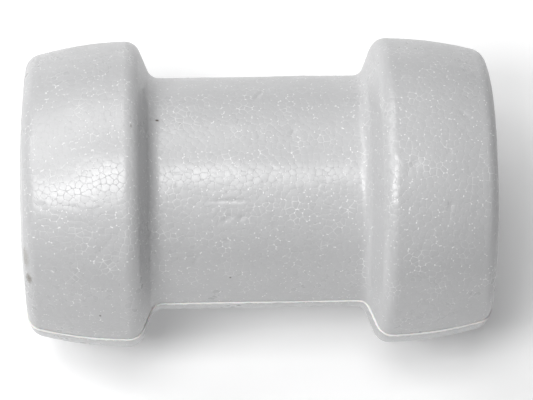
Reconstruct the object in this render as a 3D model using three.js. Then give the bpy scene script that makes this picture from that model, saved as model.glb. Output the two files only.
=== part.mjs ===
// Spool-shaped massage roller moulded in bead foam: two half mouldings from one tool,
// glued together along a level joint and kept in line by dense foam dowels.
// Millimetres. X runs along the roller, +Z is up, and the roller stands on Z = 0.

import * as THREE from "three";
import { mergeVertices } from "three/addons/utils/BufferGeometryUtils.js";

// ---- driving dimensions ----

const FACETS_ROUND = 64; // a flat lies at the bottom, so the roller stands without rocking
const DOWEL_SIDES = 32;

const roller = {
  length: 230,
  waistRadius: 57,
  footX: 51.3, // where the waist meets the lobe's inner flank
  footRounding: 6,
  crestX: 58.6, // where the lobe is widest
  crestRadius: 75.292, // the sharp corner; 75.0 is left after rounding
  crestRounding: 8,
  shoulderX: 111.6, // where the lobe turns into the end
  shoulderRadius: 67.8,
  shoulderRounding: 8,
  sideBow: 1.2, // how far the lobe's side bulges over the straight line
  sideRounding: 165,
  endTurnRadius: 33, // where the end's cone meets its flat middle
  endRounding: 250,
};

const axisHeight = 75; // the roller's radius at its crests
const gap = 0.3; // left between pieces that touch

const glue = {
  thickness: 0.4,
  proud: 0.5, // squeezed out past the foam along the sides
  shortAtEnds: 0.3, // wiped flush, so the flat ends stay flat
};
const jointHalfWidth = glue.thickness / 2 + gap; // from the joint's middle to the foam

const dowel = { radius: 8, length: 50, chamfer: 1.5 };
const socket = { radius: dowel.radius + gap, depth: dowel.length / 2 + gap, mouthEase: 1 };
const dowelPlaces = {
  dowel_left_front: [-84, -32],
  dowel_left_back: [-84, 32],
  dowel_right_front: [84, -32],
  dowel_right_back: [84, 32],
  dowel_waist_front: [0, -28],
  dowel_waist_back: [0, 28],
};

const materials = {
  foam: material("foam", 0xf2f1ee, 0.62),
  glue: material("glue", 0xfbfaf6, 0.42),
  denseFoam: material("dense_foam", 0xd9d8d2, 0.7),
};

function material(name, color, roughness) {
  return new THREE.MeshStandardMaterial({ name, color, roughness, metalness: 0 });
}

// ---- the roller's outline ----

// Replaces one corner of a path by an arc that touches both of its sides.
function arcAtCorner(before, corner, after, radius, steps) {
  const toBefore = before.clone().sub(corner).normalize();
  const toAfter = after.clone().sub(corner).normalize();
  const halfAngle = Math.acos(toBefore.dot(toAfter)) / 2;
  const bisector = toBefore.clone().add(toAfter).normalize();
  const centre = corner.clone().addScaledVector(bisector, radius / Math.sin(halfAngle));
  const reach = radius / Math.tan(halfAngle);
  const start = corner.clone().addScaledVector(toBefore, reach).sub(centre);
  const end = corner.clone().addScaledVector(toAfter, reach).sub(centre);
  const sweep = Math.atan2(start.cross(end), start.dot(end));
  const origin = new THREE.Vector2(0, 0);
  return Array.from({ length: steps + 1 }, (_, step) =>
    start.clone().rotateAround(origin, (sweep * step) / steps).add(centre),
  );
}

// The outline on one side of the axis, from the left end's flat to the right end's flat.
function sideOutline() {
  const at = (x, radius) => new THREE.Vector2(x, radius);
  const crest = at(roller.crestX, roller.crestRadius);
  const shoulder = at(roller.shoulderX, roller.shoulderRadius);
  const along = shoulder.clone().sub(crest).normalize();
  const side = crest.clone().lerp(shoulder, 0.5);
  side.add(at(-along.y, along.x).multiplyScalar(2 * roller.sideBow));

  const foot = at(roller.footX, roller.waistRadius);
  const endTurn = at(roller.length / 2, roller.endTurnRadius);
  const right = [
    ...arcAtCorner(at(0, roller.waistRadius), foot, crest, roller.footRounding, 5),
    ...arcAtCorner(foot, crest, side, roller.crestRounding, 6),
    ...arcAtCorner(crest, side, shoulder, roller.sideRounding, 5),
    ...arcAtCorner(side, shoulder, endTurn, roller.shoulderRounding, 6),
    ...arcAtCorner(shoulder, endTurn, at(roller.length / 2, 0), roller.endRounding, 4),
  ];
  const left = right.map((point) => at(-point.x, point.y)).reverse();
  return [...left, ...right];
}

// The closed outline in the joint, as a three.js shape with a round hole for every dowel.
function jointShape(proud, shortAtEnds, holeRadius) {
  const limit = roller.length / 2 - shortAtEnds;
  const back = sideOutline().map(
    ({ x, y }) => new THREE.Vector2(THREE.MathUtils.clamp(x, -limit, limit), y + proud),
  );
  const front = back.map(({ x, y }) => new THREE.Vector2(x, -y)).reverse();
  const shape = new THREE.Shape([...front, ...back]);
  shape.holes = Object.values(dowelPlaces).map((place) => circlePath(holeRadius, place));
  return shape;
}

// Corners in the same places as those of a turned solid of DOWEL_SIDES sides.
function circlePath(radius, [x, y]) {
  const points = Array.from({ length: DOWEL_SIDES }, (_, i) => {
    const angle = (2 * Math.PI * i) / DOWEL_SIDES;
    return new THREE.Vector2(x + radius * Math.sin(angle), y - radius * Math.cos(angle));
  });
  return new THREE.Path(points);
}

// ---- surfaces ----

// One closed mesh from surfaces that share their edges.
function closedMesh(surfaces) {
  const corners = surfaces.flatMap((surface) => {
    const flat = surface.index ? surface.toNonIndexed() : surface;
    return Array.from(flat.attributes.position.array);
  });
  const soup = new THREE.BufferGeometry();
  soup.setAttribute("position", new THREE.Float32BufferAttribute(corners, 3));
  const welded = mergeVertices(soup, 1e-3);
  const kept = [];
  for (let i = 0; i < welded.index.count; i += 3) {
    const [a, b, c] = welded.index.array.slice(i, i + 3);
    if (a !== b && b !== c && c !== a) {
      kept.push(a, b, c);
    }
  }
  welded.setIndex(kept);
  welded.computeVertexNormals();
  return welded;
}

// A surface turned about the upright line through (x, y), from rings of [radius, z].
function turned(rings, [x, y]) {
  const points = rings.map(([radius, z]) => new THREE.Vector2(radius, z));
  const shape = new THREE.LatheGeometry(points, DOWEL_SIDES);
  shape.rotateX(Math.PI / 2);
  shape.translate(x, y, 0);
  return shape;
}

// Half of the roller's section, from joint edge to joint edge over the top.
function halfSection({ x, y: radius }) {
  const cornerRadius = radius / Math.cos(Math.PI / FACETS_ROUND);
  const corners = Array.from({ length: FACETS_ROUND / 2 }, (_, i) => {
    const angle = ((2 * i + 1) * Math.PI) / FACETS_ROUND;
    return [x, cornerRadius * Math.cos(angle), cornerRadius * Math.sin(angle)];
  });
  return [[x, radius, jointHalfWidth], ...corners, [x, -radius, jointHalfWidth]];
}

// The curved outside of one half, with its two flat ends.
function outerSkin() {
  const sections = sideOutline().map(halfSection);
  const corners = [];
  for (let i = 0; i + 1 < sections.length; i += 1) {
    const [here, next] = [sections[i], sections[i + 1]];
    for (let j = 0; j + 1 < here.length; j += 1) {
      corners.push(here[j], next[j + 1], next[j], here[j], here[j + 1], next[j + 1]);
    }
  }
  const leftEnd = sections[0];
  const rightEnd = sections[sections.length - 1];
  for (let j = 1; j + 1 < leftEnd.length; j += 1) {
    corners.push(leftEnd[0], leftEnd[j + 1], leftEnd[j]);
    corners.push(rightEnd[0], rightEnd[j], rightEnd[j + 1]);
  }
  const skin = new THREE.BufferGeometry();
  skin.setAttribute("position", new THREE.Float32BufferAttribute(corners.flat(), 3));
  return skin;
}

// ---- pieces, with the roller's axis at Z = 0 ----

// A blind hole for half a dowel, with an eased mouth at the joint.
function socketWall(place) {
  const rings = [
    [0, socket.depth],
    [socket.radius, socket.depth],
    [socket.radius, jointHalfWidth + socket.mouthEase],
    [socket.radius + socket.mouthEase, jointHalfWidth],
  ];
  return turned(rings, place);
}

function halfMoulding() {
  const mouthRadius = socket.radius + socket.mouthEase;
  const jointFace = new THREE.ShapeGeometry(jointShape(0, 0, mouthRadius));
  jointFace.rotateX(Math.PI);
  jointFace.translate(0, 0, jointHalfWidth);
  return closedMesh([outerSkin(), jointFace, ...Object.values(dowelPlaces).map(socketWall)]);
}

// The glue in the joint, squeezed out along the sides in a thin raised line.
function glueFilm() {
  const outline = jointShape(glue.proud, glue.shortAtEnds, socket.radius);
  const options = { depth: glue.thickness, bevelEnabled: false, curveSegments: 1 };
  const film = new THREE.ExtrudeGeometry(outline, options);
  film.translate(0, 0, -glue.thickness / 2);
  return closedMesh([film]);
}

function dowelPin(place) {
  const half = dowel.length / 2;
  const endRadius = dowel.radius - dowel.chamfer;
  const rings = [
    [0, -half],
    [endRadius, -half],
    [dowel.radius, dowel.chamfer - half],
    [dowel.radius, half - dowel.chamfer],
    [endRadius, half],
    [0, half],
  ];
  return closedMesh([turned(rings, place)]);
}

// ---- assembly ----

const group = new THREE.Group();
group.name = "foam_roller";

function addPiece(name, geometry, surface) {
  const mesh = new THREE.Mesh(geometry, surface);
  mesh.name = name;
  mesh.position.z = axisHeight;
  group.add(mesh);
  return mesh;
}

addPiece("upper_half", halfMoulding(), materials.foam);
addPiece("lower_half", halfMoulding(), materials.foam).rotation.x = Math.PI;
addPiece("adhesive_layer", glueFilm(), materials.glue);
for (const [name, place] of Object.entries(dowelPlaces)) {
  addPiece(name, dowelPin(place), materials.denseFoam);
}

export default group;
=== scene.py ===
"""Looks of the bead-foam massage roller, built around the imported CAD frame.

Two half mouldings of fused foam beads, the glue line between them and the dowels inside it.
Shapes are worked out in millimetres with the roller's axis at Z = 0, then placed in metres in
the CAD frame: X along the roller, +Z up, the floor at Z = 0.
"""

import math

import bmesh
import bpy
import numpy as np
from mathutils import Matrix, Vector, kdtree, noise
from mathutils.geometry import delaunay_2d_cdt


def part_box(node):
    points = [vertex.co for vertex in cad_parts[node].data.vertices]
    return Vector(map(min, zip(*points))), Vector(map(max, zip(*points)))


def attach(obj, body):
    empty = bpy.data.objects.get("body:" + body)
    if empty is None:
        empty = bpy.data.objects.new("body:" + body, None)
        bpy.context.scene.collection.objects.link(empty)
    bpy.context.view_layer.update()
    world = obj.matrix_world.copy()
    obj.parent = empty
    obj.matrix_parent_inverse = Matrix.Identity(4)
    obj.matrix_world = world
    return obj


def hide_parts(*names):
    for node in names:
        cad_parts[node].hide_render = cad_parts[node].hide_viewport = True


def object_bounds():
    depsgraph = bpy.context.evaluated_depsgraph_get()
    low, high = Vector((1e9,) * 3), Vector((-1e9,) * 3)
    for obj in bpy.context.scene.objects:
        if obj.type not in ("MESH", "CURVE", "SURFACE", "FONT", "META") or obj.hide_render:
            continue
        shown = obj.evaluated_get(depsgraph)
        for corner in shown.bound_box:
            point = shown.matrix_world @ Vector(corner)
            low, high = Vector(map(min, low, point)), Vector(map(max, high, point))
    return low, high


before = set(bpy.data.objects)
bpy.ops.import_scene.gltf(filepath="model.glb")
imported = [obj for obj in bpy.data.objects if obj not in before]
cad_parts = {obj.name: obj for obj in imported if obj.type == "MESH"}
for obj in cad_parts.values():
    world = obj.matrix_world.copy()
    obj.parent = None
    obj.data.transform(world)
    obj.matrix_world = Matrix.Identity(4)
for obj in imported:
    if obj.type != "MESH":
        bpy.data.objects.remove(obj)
cad_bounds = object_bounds()

MM = 0.001

# ---- driving sizes, in millimetres ----

LENGTH = round((cad_bounds[1][0] - cad_bounds[0][0]) / MM)
AXIS_HEIGHT = round((cad_bounds[1][2] - cad_bounds[0][2]) / 2 / MM)
WAIST = {"radius": 57, "foot_x": 51.3, "foot_rounding": 6}
LOBE = {
    "crest": (58.6, 75.292),
    "crest_rounding": 8,
    "shoulder": (111.6, 67.8),
    "shoulder_rounding": 8,
    "side_bow": 1.2,
    "side_rounding": 165,
}
END = {"turn_radius": 33, "rounding": 250}
RIM_X = 112.2  # where the skin of the sides ends and an end face begins

SKIN_STEP = 0.88  # between the points of a half's curved skin
END_STEP = 1.2  # between the points of an end face
JOINT_HALF_WIDTH = 0.25  # from the joint's middle to the foam

SKIN_SHY = 0.22  # how far the beads' mean height lies inside the moulded outline
SKIN_MARGIN = 0.02  # the least that any point of the skin lies inside that outline

BEAD_PITCH = 3.3
BEAD_JITTER = 0.34  # as a share of the pitch
BEAD_REACH_SPREAD = 0.5
BEAD_LAYERS = ("bead_first", "bead_second", "bead_third")
BEAD = {
    "level": 0.012,  # spread of the beads' heights
    "lean": 0.016,  # spread of their slopes
    "groove": 0.025,  # depth between two beads
    "groove_width": 1.1,
    "pit": (0.015, 0.15),  # depth where three meet: the least, and what an open corner adds
    "pit_width": 1.25,
    "sunk_share": 0.005,
    "sunk_depth": (0.1, 0.26),
}
WAVES = ((0.28, 34), (0.07, 9))  # height and size of the moulding's slow unevenness
LIP = {"depth": 0.12, "width": 0.5}  # the skin's rounding-in beside the joint

DOWELS = [f"dowel_{x}_{y}" for x in ("left", "right", "waist") for y in ("front", "back")]
SOCKET = {"radius": 8.3, "depth": 25.3, "mouth_ease": 1}
SOCKET_SIDES = 48

SEAM = {
    "step": 0.8,
    "film_half": 0.2,  # half the thickness of the film in the joint
    "inside": (-1.6, -0.35),  # where the raised line's own mesh begins and where it swells from
    "bead_half": 0.38,  # half the thickness of the raised line
    "proud": 0.5,  # how far it stands out of the foam
    "fullness": (0.85, 0.25, 1.5),  # the mean, the least and the most
    "swells": ((0.5, 7), (0.45, 1.9)),  # height and size of its unevenness
    "wiped": (111, 114),  # on the ends it fades between these places along the roller
    "wiped_share": 0.75,
    "least_half": 0.05,
}

# The foam's base colour is much darker than real white bead foam. It was set together with the
# lights below, so that the roller looks grey on the bright floor.
FOAM_COLOURS = ((0.56, 0.561, 0.566, 1), (0.565, 0.566, 0.571, 1))

CAMERA = {
    "pitch": 69.5,
    "yaw": 2.0,
    "roll": 0.9,
    "distance": 1.328,
    "aside": -4.7,
    "down": 3.86,
}
VIEW_WIDTH = 0.262  # metres of the scene across the picture, at the roller's axis
SENSOR_WIDTH = 36  # of the camera, in millimetres
FLOOR_SIZE = 8
FLOOR_GLOW = 0.16  # the floor shines a little, which softens the roller's shadow
WORLD_STRENGTH = 0.08
LIGHT_DISTANCE = 1.7
LIGHTS = {
    # azimuth, elevation, sides in metres, watts
    "back_left": (112.5, 50, (0.8, 0.8), 6.0),
    "left_back": (157.5, 50, (0.8, 0.8), 6.8),
    "overhead_left": (216, 61, (0.9, 0.42), 13.2),
    "overhead": (210, 82, (0.7, 0.42), 9.0),
}

# ---- marks of use ----

# Each dent lies on the upper half, over a point (x, y) of the plan, in millimetres.
DENTS = [
    # x, y, half length, half width, turn in degrees, depth
    (-14.5, -23.7, 8.5, 0.8, 0, 0.3),
    (0.2, 31.7, 3.4, 0.9, 55, 0.5),
    (4.2, 34.8, 3.2, 0.8, -50, 0.45),
    (-16.5, -31.6, 2.4, 1.1, 25, 0.45),
    (-9.0, -30.9, 1.6, 1.0, 10, 0.4),
    (-16.1, -40.2, 1.8, 1.0, 0, 0.4),
    (-30.4, -46.1, 2.2, 0.9, 40, 0.4),
    (-74.2, -48.3, 6.0, 0.9, 40, 0.2),
    (-70.2, -52.9, 5.0, 0.9, 45, 0.2),
    (16.0, 9.0, 2.2, 0.8, 50, 0.35),
    (71.0, -15.0, 2.4, 1.2, 10, 0.4),
    (88.0, -33.0, 2.0, 1.1, 70, 0.4),
    (96.0, 11.0, 2.6, 1.0, -35, 0.35),
]

WRINKLES = {
    "x": (60.5, 4.5),  # the middle of the wrinkled patch and its half width
    "turn": (-0.12, 0.42),  # the same around the roller, in radians from the top
    "stretch": 0.35,  # along the roller
    "size": 2.6,
    "depth": 0.3,
}

# Dirt on the skin: place about the roller's axis, size (both in millimetres), colour, strength.
STAINS = [
    ((-48.1, 16.7, 54.5), (1.2, 0.9, 0.9), (0.07, 0.045, 0.03, 1), 1.0),
    ((-60.3, 6.2, 73.8), (0.8, 1.1, 1.1), (0.33, 0.32, 0.31, 1), 0.8),
    ((-37.4, 14.8, 55.0), (0.9, 0.7, 0.7), (0.33, 0.32, 0.31, 1), 0.8),
    ((-76.7, -70.4, 23.5), (0.8, 0.9, 0.9), (0.12, 0.11, 0.1, 1), 1.0),
    ((-14.5, -52.1, 23.0), (0.7, 0.7, 0.7), (0.15, 0.14, 0.13, 1), 1.0),
    ((-111.2, -49.0, 45.5), (2.6, 7.0, 7.0), (0.34, 0.32, 0.29, 1), 0.6),
    ((-110.0, -56.5, 38.0), (2.6, 4.0, 4.0), (0.22, 0.2, 0.17, 1), 0.8),
]

SEED = 7


def middle_in_plan(node):
    """Where a node's middle is in the CAD frame, as (x, y)."""
    low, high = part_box(node)
    return tuple(round((low[k] + high[k]) / 2 / MM) for k in (0, 1))


DOWEL_PLACES = [middle_in_plan(node) for node in DOWELS]


# ---- outline ----


def unit(vector):
    return vector / np.linalg.norm(vector)


def arc_at_corner(before, corner, after, radius, steps=16):
    """Points of the arc that rounds a corner of a path, from its first side to its second."""
    before, corner, after = (np.array(p, float) for p in (before, corner, after))
    to_before, to_after = unit(before - corner), unit(after - corner)
    half_angle = math.acos(to_before @ to_after) / 2
    centre = corner + unit(to_before + to_after) * radius / math.sin(half_angle)
    reach = radius / math.tan(half_angle)
    start = corner + to_before * reach - centre
    end = corner + to_after * reach - centre
    sweep = math.atan2(start[0] * end[1] - start[1] * end[0], start @ end)
    angles = sweep * np.arange(steps + 1) / steps
    turned_x = start[0] * np.cos(angles) - start[1] * np.sin(angles)
    turned_y = start[0] * np.sin(angles) + start[1] * np.cos(angles)
    return np.column_stack([turned_x, turned_y]) + centre


def right_outline():
    """From mid-waist over the right lobe to the middle of the right end, as (x, radius)."""
    crest, shoulder = np.array(LOBE["crest"]), np.array(LOBE["shoulder"])
    along = unit(shoulder - crest)
    side = (crest + shoulder) / 2 + 2 * LOBE["side_bow"] * np.array([-along[1], along[0]])
    waist = (0, WAIST["radius"])
    foot = (WAIST["foot_x"], WAIST["radius"])
    end_turn = (LENGTH / 2, END["turn_radius"])
    end_middle = (LENGTH / 2, 0)
    return np.vstack(
        [
            waist,
            arc_at_corner(waist, foot, crest, WAIST["foot_rounding"]),
            arc_at_corner(foot, crest, side, LOBE["crest_rounding"]),
            arc_at_corner(crest, side, shoulder, LOBE["side_rounding"]),
            arc_at_corner(side, shoulder, end_turn, LOBE["shoulder_rounding"]),
            arc_at_corner(shoulder, end_turn, end_middle, END["rounding"]),
            end_middle,
        ]
    )


def resampled(points, step):
    """The same path with its points evenly spaced, about a step apart."""
    lengths = np.r_[0, np.cumsum(np.linalg.norm(np.diff(points, axis=0), axis=1))]
    at = np.linspace(0, lengths[-1], round(lengths[-1] / step) + 1)
    return np.column_stack([np.interp(at, lengths, points[:, k]) for k in (0, 1)])


RIGHT = right_outline()
RIM = int(np.argmax(RIGHT[:, 0] > RIM_X))
SIDES = np.vstack([RIGHT[: RIM + 1][::-1] * [-1, 1], RIGHT[1 : RIM + 1]])
END_FACE = RIGHT[RIM:]


# ---- the smooth skin of one half ----


def side_skin(surface):
    """Adds the waist and the lobes, without the end faces. Returns both ends' rings."""
    outline = resampled(SIDES, SKIN_STEP)
    columns = round(math.pi * AXIS_HEIGHT / SKIN_STEP)
    rings = []
    for x, radius in outline:
        first = math.asin(JOINT_HALF_WIDTH / radius)
        angles = np.linspace(first, math.pi - first, columns + 1)
        rings.append(
            [surface.verts.new((x, radius * math.cos(a), radius * math.sin(a))) for a in angles]
        )
    for here, following in zip(rings, rings[1:]):
        for j in range(columns):
            surface.faces.new((here[j], here[j + 1], following[j + 1], following[j]))
    return rings[0], rings[-1]


def end_skin(surface, rim, outwards):
    """Adds an end face inside its rim, as triangles of even size, down to the joint's edge."""
    rim_y, rim_radius = rim[0].co.y, RIGHT[RIM][1]
    count = round(2 * rim_y / END_STEP)
    joint_edge = [(-rim_y + 2 * rim_y * k / count, JOINT_HALF_WIDTH) for k in range(1, count)]
    inside = []
    row_height = END_STEP * math.sqrt(3) / 2
    for row in range(1, int(rim_radius / row_height)):
        z = JOINT_HALF_WIDTH + row * row_height
        start = -rim_radius + END_STEP / 2 * (row % 2)
        for y in np.arange(start, rim_radius, END_STEP):
            if math.hypot(y, z) < rim_radius - 0.6 * END_STEP:
                inside.append((y, z))
    border = [(v.co.y, v.co.z) for v in rim] + joint_edge
    edges = [(k, (k + 1) % len(border)) for k in range(len(border))]
    points, _, faces, origins, *_ = delaunay_2d_cdt(
        [Vector(p) for p in border + inside], edges, [], 1, 1e-7
    )
    verts = []
    for point, origin in zip(points, origins):
        if origin and origin[0] < len(rim):
            verts.append(rim[origin[0]])
        else:
            x = np.interp(point.length, END_FACE[::-1, 1], END_FACE[::-1, 0])
            verts.append(surface.verts.new((outwards * x, point.x, point.y)))
    for face in faces:
        corners = [verts[k] for k in face]
        surface.faces.new(corners if outwards > 0 else corners[::-1])


# ---- foam beads ----


def bead_centres(random):
    """Where the beads touch the mould wall of one half: loose staggered rows, each shaken."""
    path = resampled(RIGHT, 0.25)
    path = np.vstack([path[::-1] * [-1, 1], path[1:]])
    lengths = np.r_[0, np.cumsum(np.linalg.norm(np.diff(path, axis=0), axis=1))]
    centres = []
    row_gap = BEAD_PITCH * math.sqrt(3) / 2
    for row, at in enumerate(np.arange(row_gap / 2, lengths[-1], row_gap)):
        radius = np.interp(at, lengths, path[:, 1])
        count = max(1, round(math.pi * radius / BEAD_PITCH))
        shift = 0.5 * (row % 2) + random.uniform(-0.2, 0.2)
        for k in range(-1, count + 2):
            shaken = at + BEAD_PITCH * BEAD_JITTER * random.standard_normal()
            x = np.interp(shaken, lengths, path[:, 0])
            r = np.interp(shaken, lengths, path[:, 1])
            turn = (k + shift + BEAD_JITTER * random.standard_normal()) / count * math.pi
            centres.append((x, r * math.cos(turn), r * math.sin(turn)))
    return np.array(centres)


def tree_of(points):
    tree = kdtree.KDTree(len(points))
    for i, point in enumerate(points):
        tree.insert(point, i)
    tree.balance()
    return tree


def evened(centres, points, weights, rounds=2):
    """Moves each bead to the middle of the skin that it fills, so that sizes even out."""
    for _ in range(rounds):
        tree = tree_of(centres)
        owner = np.array([tree.find(p)[1] for p in points])
        share = np.bincount(owner, weights, len(centres))
        moved = np.column_stack(
            [np.bincount(owner, weights * points[:, k], len(centres)) for k in range(3)]
        )
        kept = share > 0
        centres = moved[kept] / share[kept][:, None]
    return centres


def nearest_beads(centres, reach, points, among=7):
    """For each point, its three nearest beads, by distance less each bead's own reach."""
    tree = tree_of(centres)
    found = np.array([[hit[1] for hit in tree.find_n(p, among)] for p in points])
    gaps = np.linalg.norm(points[:, None, :] - centres[found], axis=2) - reach[found]
    order = np.argsort(gaps, axis=1)[:, :3]
    return np.take_along_axis(found, order, 1), np.take_along_axis(gaps, order, 1)


def smooth_step(values, low, high):
    t = np.clip((values - low) / (high - low), 0, 1)
    return t * t * (3 - 2 * t)


def rough(points, size, seed):
    """Smooth noise from -1 to 1 at points, with lumps of about that size in millimetres."""
    shift = Vector((seed * 13.7, seed * 5.1, seed * 9.3))
    return np.array([noise.noise(Vector(p) / size + shift) for p in points])


def bead_relief(points, centres, reach, random):
    """How far the fused beads stand out of, or sink into, the smooth skin."""
    beads, gaps = nearest_beads(centres, reach, points)
    own = beads[:, 0]
    count = len(centres)
    groove = 1 - smooth_step(gaps[:, 1] - gaps[:, 0], 0, BEAD["groove_width"])
    corner = 1 - smooth_step(gaps[:, 2] - gaps[:, 0], 0, BEAD["pit_width"])
    level = random.normal(0, BEAD["level"], count)
    lean = random.normal(0, BEAD["lean"], (count, 3))
    is_sunk = random.random(count) < BEAD["sunk_share"]
    sunk = np.where(is_sunk, random.uniform(*BEAD["sunk_depth"], count), 0)
    open_corner = random.random(count) ** 3
    tilt = np.einsum("ij,ij->i", points - centres[own], lean[own])
    least, added = BEAD["pit"]
    pits = corner * (least + added * open_corner[beads].mean(axis=1) ** 1.5)
    plateau = smooth_step(gaps[:, 1] - gaps[:, 0], 0.1, 1.4)
    return level[own] + tilt - BEAD["groove"] * groove - pits - sunk[own] * plateau


# ---- dents and wrinkles ----


def dent_depth(points):
    """How deep the dents of the upper half are at points."""
    depth = np.zeros(len(points))
    for x, y, half_length, half_width, turn, deepest in DENTS:
        across = points[:, :2] - (x, y)
        c, s = math.cos(math.radians(turn)), math.sin(math.radians(turn))
        u = (across[:, 0] * c + across[:, 1] * s) / half_length
        v = (across[:, 1] * c - across[:, 0] * s) / half_width
        inside = np.exp(-(u**2) - v**2)
        depth += deepest * np.where(points[:, 2] > 0, inside, 0)
    return depth


def crest_wrinkles(points):
    """Fine ripples that a pressed edge leaves, across the crest of the right lobe."""
    middle, half_width = WRINKLES["x"]
    turn, half_turn = WRINKLES["turn"]
    near_crest = np.exp(-(((points[:, 0] - middle) / half_width) ** 2))
    around = np.arctan2(points[:, 1], points[:, 2])
    zone = np.exp(-(((around - turn) / half_turn) ** 2))
    ripple = rough(points * [WRINKLES["stretch"], 1, 1], WRINKLES["size"], 41)
    return WRINKLES["depth"] * near_crest * zone * ripple


# ---- pieces ----


def piece(name, surface, material):
    """An object from a bmesh in millimetres about the roller's axis, riding on the body."""
    surface.transform(Matrix.Translation((0, 0, AXIS_HEIGHT * MM)) @ Matrix.Scale(MM, 4))
    mesh = bpy.data.meshes.new(name)
    surface.to_mesh(mesh)
    surface.free()
    mesh.materials.append(material)
    obj = bpy.data.objects.new(name, mesh)
    bpy.context.scene.collection.objects.link(obj)
    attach(obj, "root")
    return obj


def close_joint(surface):
    """Closes a half with its flat joint face and the blind sockets for the dowels."""
    border = [e for e in surface.edges if e.is_boundary]
    for vert in {v for e in border for v in e.verts}:
        vert.co.z = JOINT_HALF_WIDTH
    mouths = []
    for x, y in DOWEL_PLACES:
        radius = SOCKET["radius"] + SOCKET["mouth_ease"]
        mouths.append(circle(surface, radius, x, y, JOINT_HALF_WIDTH))
    mouth_edges = [e for ring in mouths for e in ring_edges(surface, ring)]
    filled = bmesh.ops.triangle_fill(
        surface, use_beauty=True, use_dissolve=False, edges=border + mouth_edges
    )
    flat = [f for f in filled["geom"] if isinstance(f, bmesh.types.BMFace)]
    for ring, (x, y) in zip(mouths, DOWEL_PLACES):
        neck = circle(surface, SOCKET["radius"], x, y, JOINT_HALF_WIDTH + SOCKET["mouth_ease"])
        floor = circle(surface, SOCKET["radius"], x, y, SOCKET["depth"])
        for low, high in ((ring, neck), (neck, floor)):
            flat += bridge(surface, low, high)
        flat.append(surface.faces.new(floor))
    for face in flat:
        face.smooth = False


def circle(surface, radius, x, y, z):
    angles = [2 * math.pi * k / SOCKET_SIDES for k in range(SOCKET_SIDES)]
    return [
        surface.verts.new((x + radius * math.cos(a), y + radius * math.sin(a), z)) for a in angles
    ]


def ring_edges(surface, ring):
    pairs = zip(ring, ring[1:] + ring[:1])
    return [surface.edges.get(pair) or surface.edges.new(pair) for pair in pairs]


def bridge(surface, low, high):
    pairs = list(zip(low, high))
    return [
        surface.faces.new((a, c, d, b)) for (a, b), (c, d) in zip(pairs, pairs[1:] + pairs[:1])
    ]


def foam_half(name, replaced, upwards, seed, foam):
    """One half moulding, with the beads' relief in its mesh and each face's beads recorded."""
    random = np.random.default_rng(seed)
    surface = bmesh.new()
    left_rim, right_rim = side_skin(surface)
    end_skin(surface, right_rim, 1)
    end_skin(surface, left_rim, -1)
    surface.normal_update()
    points = np.array([v.co for v in surface.verts])
    normals = np.array([v.normal for v in surface.verts])
    weights = np.array([sum(f.calc_area() for f in v.link_faces) for v in surface.verts])

    centres = evened(bead_centres(random), points, weights)
    reach = BEAD_REACH_SPREAD * random.uniform(-1, 1, len(centres))
    relief = bead_relief(points, centres, reach, random)
    (slow, slow_size), (quick, quick_size) = WAVES
    relief += slow * rough(points, slow_size, seed) + quick * rough(points, quick_size, seed + 1)
    if upwards:
        relief -= dent_depth(points)
        relief += crest_wrinkles(points)
    relief -= LIP["depth"] * np.exp(-(points[:, 2] - JOINT_HALF_WIDTH) / LIP["width"])
    relief = np.minimum(relief - SKIN_SHY, -SKIN_MARGIN)
    for vert, move in zip(surface.verts, normals * relief[:, None]):
        vert.co += Vector(move)
        vert.co.z = max(vert.co.z, JOINT_HALF_WIDTH)
    for face in surface.faces:
        face.smooth = True
    close_joint(surface)
    bmesh.ops.recalc_face_normals(surface, faces=surface.faces)

    middles = np.array([f.calc_center_median() for f in surface.faces])
    beads, _ = nearest_beads(centres, reach, middles)
    if not upwards:
        surface.transform(Matrix.Rotation(math.pi, 4, "X"))
        centres = centres * [1, -1, -1]
    obj = piece(name, surface, foam)
    placed = (centres + [0, 0, AXIS_HEIGHT]) * MM
    for k, layer in enumerate(BEAD_LAYERS):
        values = np.column_stack([placed[beads[:, k]], reach[beads[:, k]] * MM])
        attribute = obj.data.attributes.new(layer, "FLOAT_COLOR", "FACE")
        attribute.data.foreach_set("color", values.astype(np.float32).ravel())
    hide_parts(replaced)


# ---- materials ----


class Graph:
    """A material's nodes, with short calls for the ones that repeat."""

    def __init__(self, name):
        self.material = bpy.data.materials.new(name)
        self.material.use_nodes = True
        self.tree = self.material.node_tree
        self.shader = self.tree.nodes["Principled BSDF"]

    def node(self, kind, inputs=None, **settings):
        made = self.tree.nodes.new(kind)
        for key, value in settings.items():
            setattr(made, key, value)
        for key, value in (inputs or {}).items():
            self.set(made.inputs[key], value)
        return made

    def set(self, socket, value):
        if isinstance(value, bpy.types.NodeSocket):
            self.tree.links.new(value, socket)
        else:
            socket.default_value = value

    def math(self, operation, *values, clamp=False):
        made = self.node("ShaderNodeMath", operation=operation, use_clamp=clamp)
        for socket, value in zip(made.inputs, values):
            self.set(socket, value)
        return made.outputs[0]

    def step(self, value, low, high, start=0.0, end=1.0):
        """A smooth step of a value from start at low to end at high."""
        inputs = {"Value": value, "From Min": low, "From Max": high, "To Min": start, "To Max": end}
        made = self.node("ShaderNodeMapRange", inputs, interpolation_type="SMOOTHSTEP")
        return made.outputs["Result"]

    def mix(self, factor, first, second):
        made = self.node("ShaderNodeMix", data_type="RGBA")
        self.set(made.inputs["Factor"], factor)
        self.set(made.inputs[6], first)
        self.set(made.inputs[7], second)
        return made.outputs[2]

    def noise(self, where, scale, detail=3.0, roughness=0.5):
        inputs = {"Vector": where, "Scale": scale, "Detail": detail, "Roughness": roughness}
        return self.node("ShaderNodeTexNoise", inputs).outputs["Fac"]


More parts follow.
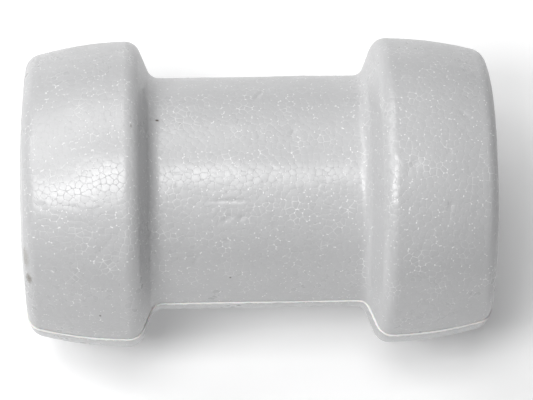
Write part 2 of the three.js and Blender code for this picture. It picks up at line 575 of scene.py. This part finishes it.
def stain_mask(g, here, place, size, strength):
    """A stain's strength at its middle, falling to nothing at its ragged edge."""
    middle = [(p + lift) * MM for p, lift in zip(place, (0, 0, AXIS_HEIGHT))]
    off = g.node("ShaderNodeVectorMath", {0: here, 1: middle}, operation="SUBTRACT")
    scaled = g.node("ShaderNodeVectorMath", {0: off.outputs[0]}, operation="DIVIDE")
    g.set(scaled.inputs[1], [s * MM for s in size])
    far = g.node("ShaderNodeVectorMath", {0: scaled.outputs[0]}, operation="LENGTH")
    ragged = g.math("MULTIPLY_ADD", g.noise(here, 900.0, 3.0, 0.7), 0.9, far.outputs["Value"])
    return g.step(ragged, 0.75, 1.5, strength, 0.0)


def foam_material():
    """Fused bead foam: satin beads, duller and paler where they meet, painted shade in some bead
    corners and painted glints at others, with a few stains.
    """
    g = Graph("bead_foam")
    here = g.node("ShaderNodeTexCoord").outputs["Object"]
    gaps, centres = [], []
    for layer in BEAD_LAYERS:
        bead = g.node("ShaderNodeAttribute", attribute_name=layer)
        far = g.node("ShaderNodeVectorMath", operation="DISTANCE")
        g.set(far.inputs[0], here)
        g.set(far.inputs[1], bead.outputs["Color"])
        gaps.append(g.math("SUBTRACT", far.outputs["Value"], bead.outputs["Alpha"]))
        centres.append(bead.outputs["Color"])
    nearer = g.math("LESS_THAN", gaps[1], gaps[0])
    own = g.mix(nearer, centres[0], centres[1])
    low = g.math("MINIMUM", gaps[0], gaps[1])
    high = g.math("MAXIMUM", gaps[0], gaps[1])
    between = g.math("SUBTRACT", high, low)
    highest = g.math("MAXIMUM", high, gaps[2])
    lowest = g.math("MINIMUM", low, gaps[2])
    to_corner = g.math("SUBTRACT", highest, lowest)
    line = g.step(between, 0.05 * MM, 0.36 * MM, 1.0, 0.0)
    corner = g.step(to_corner, 0.1 * MM, 0.75 * MM, 1.0, 0.0)

    chance = g.node("ShaderNodeTexWhiteNoise", {"Vector": own}, noise_dimensions="3D")
    tone = chance.outputs["Value"]
    patch = g.noise(here, 38.0, 4.0, 0.6)
    grain = g.noise(here, 2600.0, 2.0, 0.6)

    bead_colour = g.mix(tone, *FOAM_COLOURS)
    shown = g.step(g.noise(here, 90.0, 3.0, 0.6), 0.5, 0.7, 0.05, 0.6)
    open_line = g.math("MULTIPLY", line, shown)
    seam_colour = g.mix(open_line, bead_colour, (0.9, 0.9, 0.9, 1))
    # Painted light at the bead corners: a grey stands in for shade in the pits, and white specks
    # stand in for glints on their edges; lit_corner picks which.
    lit_corner = g.step(g.noise(here, 240.0, 2.0, 0.6), 0.5, 0.6)
    pit_shade_glint_colour = g.mix(lit_corner, (0.62, 0.62, 0.62, 1), (0.99, 0.99, 0.99, 1))
    pit_shade_glint_share = g.math("MULTIPLY_ADD", lit_corner, 0.65, 0.25)
    shaded = g.mix(g.math("MULTIPLY", corner, pit_shade_glint_share), seam_colour, pit_shade_glint_colour)
    for place, size, colour, strength in STAINS:
        shaded = g.mix(stain_mask(g, here, place, size, strength), shaded, colour)
    g.set(g.shader.inputs["Base Color"], shaded)

    satin = g.math("MULTIPLY_ADD", tone, 0.04, 0.22)
    dull = g.math("MULTIPLY_ADD", line, 0.3, satin)
    g.set(g.shader.inputs["Roughness"], g.math("MULTIPLY_ADD", patch, 0.12, dull))
    g.set(g.shader.inputs["IOR"], 1.6)
    g.set(g.shader.inputs["Subsurface Weight"], 0.35)
    g.set(g.shader.inputs["Subsurface Radius"], (1.0, 1.0, 1.0))
    g.set(g.shader.inputs["Subsurface Scale"], 2.2 * MM)

    height = g.math("MULTIPLY_ADD", line, -0.03, g.math("MULTIPLY", grain, 0.01))
    corner_height = g.math("MULTIPLY_ADD", lit_corner, 0.17, -0.05)
    height = g.math("MULTIPLY_ADD", corner, corner_height, height)
    bump = g.node("ShaderNodeBump", {"Height": height, "Strength": 1.0, "Distance": MM})
    g.set(g.shader.inputs["Normal"], bump.outputs["Normal"])
    return g.material


def glue_material():
    """Set glue and trimmed flash: paler and a little rougher than the beads."""
    g = Graph("set_glue")
    here = g.node("ShaderNodeTexCoord").outputs["Object"]
    lumps = g.noise(here, 900.0, 3.0, 0.6)
    colour = g.mix(lumps, (0.74, 0.74, 0.73, 1), (0.93, 0.93, 0.92, 1))
    g.set(g.shader.inputs["Base Color"], colour)
    g.set(g.shader.inputs["Roughness"], g.math("MULTIPLY_ADD", lumps, 0.25, 0.3))
    g.set(g.shader.inputs["Subsurface Weight"], 0.2)
    g.set(g.shader.inputs["Subsurface Scale"], MM)
    bump = g.node("ShaderNodeBump", {"Height": lumps, "Strength": 0.6, "Distance": 0.2 * MM})
    g.set(g.shader.inputs["Normal"], bump.outputs["Normal"])
    return g.material


def dense_foam_material():
    """Fine-celled grey-white foam of the dowels."""
    g = Graph("dense_foam")
    here = g.node("ShaderNodeTexCoord").outputs["Object"]
    cells = g.node("ShaderNodeTexVoronoi", {"Vector": here, "Scale": 900.0})
    distance = cells.outputs["Distance"]
    colour = g.mix(distance, (0.66, 0.65, 0.61, 1), (0.78, 0.77, 0.73, 1))
    g.set(g.shader.inputs["Base Color"], colour)
    g.set(g.shader.inputs["Roughness"], g.math("MULTIPLY_ADD", distance, 0.3, 0.6))
    bump = g.node("ShaderNodeBump", {"Height": distance, "Strength": 0.5, "Distance": 0.3 * MM})
    g.set(g.shader.inputs["Normal"], bump.outputs["Normal"])
    return g.material


def floor_material():
    g = Graph("pale_floor")
    here = g.node("ShaderNodeTexCoord").outputs["Object"]
    colour = g.mix(g.noise(here, 3.0), (0.93, 0.93, 0.93, 1), (0.95, 0.95, 0.95, 1))
    g.set(g.shader.inputs["Base Color"], colour)
    g.set(g.shader.inputs["Roughness"], 0.9)
    g.set(g.shader.inputs["Specular IOR Level"], 0.1)
    g.set(g.shader.inputs["Emission Color"], (1, 1, 1, 1))
    g.set(g.shader.inputs["Emission Strength"], FLOOR_GLOW)
    return g.material


# ---- glue line ----


def joint_outline(step):
    """The closed outline of the joint in plan, as (x, y), with its outward directions."""
    right = resampled(RIGHT, step)[:-1]
    quarter = [right, right[::-1] * [1, -1], right[1:] * [-1, -1], right[1:][::-1] * [-1, 1]]
    right_end, left_end = [[LENGTH / 2, 0]], [[-LENGTH / 2, 0]]
    loop = np.vstack([quarter[0], right_end, *quarter[1:3], left_end, quarter[3]])
    ahead = np.roll(loop, -1, axis=0) - np.roll(loop, 1, axis=0)
    outwards = np.column_stack([-ahead[:, 1], ahead[:, 0]])
    return loop, outwards / np.linalg.norm(outwards, axis=1)[:, None]


def glue_line(material):
    """The film in the joint, swelling to an uneven raised line outside the foam."""
    loop, outwards = joint_outline(SEAM["step"])
    points = np.column_stack([loop, np.zeros(len(loop))])
    mean, least, most = SEAM["fullness"]
    (slow, slow_size), (quick, quick_size) = SEAM["swells"]
    fullness = mean + slow * rough(points, slow_size, 3) + quick * rough(points, quick_size, 4)
    at_end = smooth_step(np.abs(loop[:, 0]), *SEAM["wiped"])
    fullness = np.clip(fullness, least, most) * (1 - SEAM["wiped_share"] * at_end)
    film, swell, proud = SEAM["film_half"], SEAM["bead_half"], SEAM["proud"]
    deepest, shallowest = SEAM["inside"]
    # Half of the section, from inside to the tip: place, fixed height, height that swells.
    # Places below zero are millimetres inside the outline; the others are shares of proud.
    section = [
        (deepest, film, 0),
        (shallowest, film, 0),
        (0.05, 0, swell),
        (0.5, 0, 0.8 * swell),
        (1.0, 0, 0.3 * swell),
    ]
    surface = bmesh.new()
    rings = []
    for place, z_fixed, z_swollen in section:
        offset = np.where(place < 0, place, place * proud * fullness)
        spots = loop + outwards * offset[:, None]
        z = np.maximum(z_fixed + z_swollen * fullness, SEAM["least_half"])
        rings.append((spots, z))
    top = [[surface.verts.new((x, y, h)) for (x, y), h in zip(spots, z)] for spots, z in rings]
    low = [[surface.verts.new((x, y, -h)) for (x, y), h in zip(spots, z)] for spots, z in rings]
    for inner, outer in zip(top, top[1:]):
        bridge(surface, inner, outer)
    bridge(surface, top[-1], low[-1])
    for outer, inner in zip(low[::-1], low[-2::-1]):
        bridge(surface, outer, inner)
    holes = []
    for x, y in DOWEL_PLACES:
        pair = [circle(surface, SOCKET["radius"], x, y, side * film) for side in (1, -1)]
        bridge(surface, *pair)
        holes.append(pair)
    for side, border in ((0, top[0]), (1, low[0])):
        edges = ring_edges(surface, border)
        for pair in holes:
            edges += ring_edges(surface, pair[side])
        bmesh.ops.triangle_fill(surface, use_beauty=True, use_dissolve=False, edges=edges)
    bmesh.ops.recalc_face_normals(surface, faces=surface.faces)
    for face in surface.faces:
        face.smooth = True
    obj = piece("adhesive_line", surface, material)
    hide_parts("adhesive_layer")


# ---- building ----

foam = foam_material()
foam_half("upper_foam", "upper_half", True, SEED, foam)
foam_half("lower_foam", "lower_half", False, SEED + 1, foam)
glue_line(glue_material())
dowel_foam = dense_foam_material()
for name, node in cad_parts.items():
    if name.startswith("dowel_"):
        node.data.materials.clear()
        node.data.materials.append(dowel_foam)


# ---- stage ----


def camera_axes():
    """The camera's right, up and back directions, tilted from square on to the roller."""
    pitch, yaw, roll = (math.radians(CAMERA[k]) for k in ("pitch", "yaw", "roll"))
    to_viewer = np.array([0, -math.cos(pitch), math.sin(pitch)])
    upwards = np.array([0, math.sin(pitch), math.cos(pitch)])
    part = np.column_stack([(1, 0, 0), upwards, to_viewer])
    along = np.array(
        [math.cos(yaw) * math.cos(roll), math.cos(yaw) * math.sin(roll), -math.sin(yaw)]
    )
    facing = unit(np.array([0, 0, 1]) - along[2] * along)
    seen = np.column_stack([along, np.cross(facing, along), facing])
    return part @ seen.T


def add_camera():
    axes = camera_axes()
    right, up, back = axes.T
    centre = np.array([0, 0, AXIS_HEIGHT * MM])
    aim = centre - (CAMERA["aside"] * right + CAMERA["down"] * up) * MM
    data = bpy.data.cameras.new("camera")
    data.lens = SENSOR_WIDTH / VIEW_WIDTH * CAMERA["distance"]
    data.clip_end = 50
    camera = bpy.data.objects.new("camera", data)
    camera.matrix_world = Matrix(
        [[*row, place] for row, place in zip(axes, aim + back * CAMERA["distance"])]
        + [[0, 0, 0, 1]]
    )
    bpy.context.scene.collection.objects.link(camera)
    bpy.context.scene.camera = camera


def area_light(name, azimuth, elevation, sides, power):
    """A soft box aimed at the roller, its first side along X; angles from +X and from level."""
    turn, lift = math.radians(azimuth), math.radians(elevation)
    towards = Vector(
        (math.cos(lift) * math.cos(turn), math.cos(lift) * math.sin(turn), math.sin(lift))
    )
    along = (Vector((1, 0, 0)) - towards.x * towards).normalized()
    axes = Matrix((along, towards.cross(along), towards)).transposed()
    data = bpy.data.lights.new(name, "AREA")
    data.shape = "RECTANGLE"
    data.size, data.size_y = sides
    data.energy = power
    lamp = bpy.data.objects.new(name, data)
    place = Vector((0, 0, AXIS_HEIGHT * MM)) + towards * LIGHT_DISTANCE
    lamp.matrix_world = Matrix.Translation(place) @ axes.to_4x4()
    bpy.context.scene.collection.objects.link(lamp)


bpy.ops.mesh.primitive_grid_add(x_subdivisions=8, y_subdivisions=8, size=FLOOR_SIZE)
floor = bpy.context.object
floor.name = "floor"
floor.data.materials.append(floor_material())

add_camera()
for name, (azimuth, elevation, sides, power) in LIGHTS.items():
    area_light(name, azimuth, elevation, sides, power)

world = bpy.data.worlds.new("studio")
bpy.context.scene.world = world
world.use_nodes = True
world.node_tree.nodes["Background"].inputs["Color"].default_value = (0.95, 0.97, 1.0, 1)
world.node_tree.nodes["Background"].inputs["Strength"].default_value = WORLD_STRENGTH
bpy.context.scene.view_settings.view_transform = "Standard"
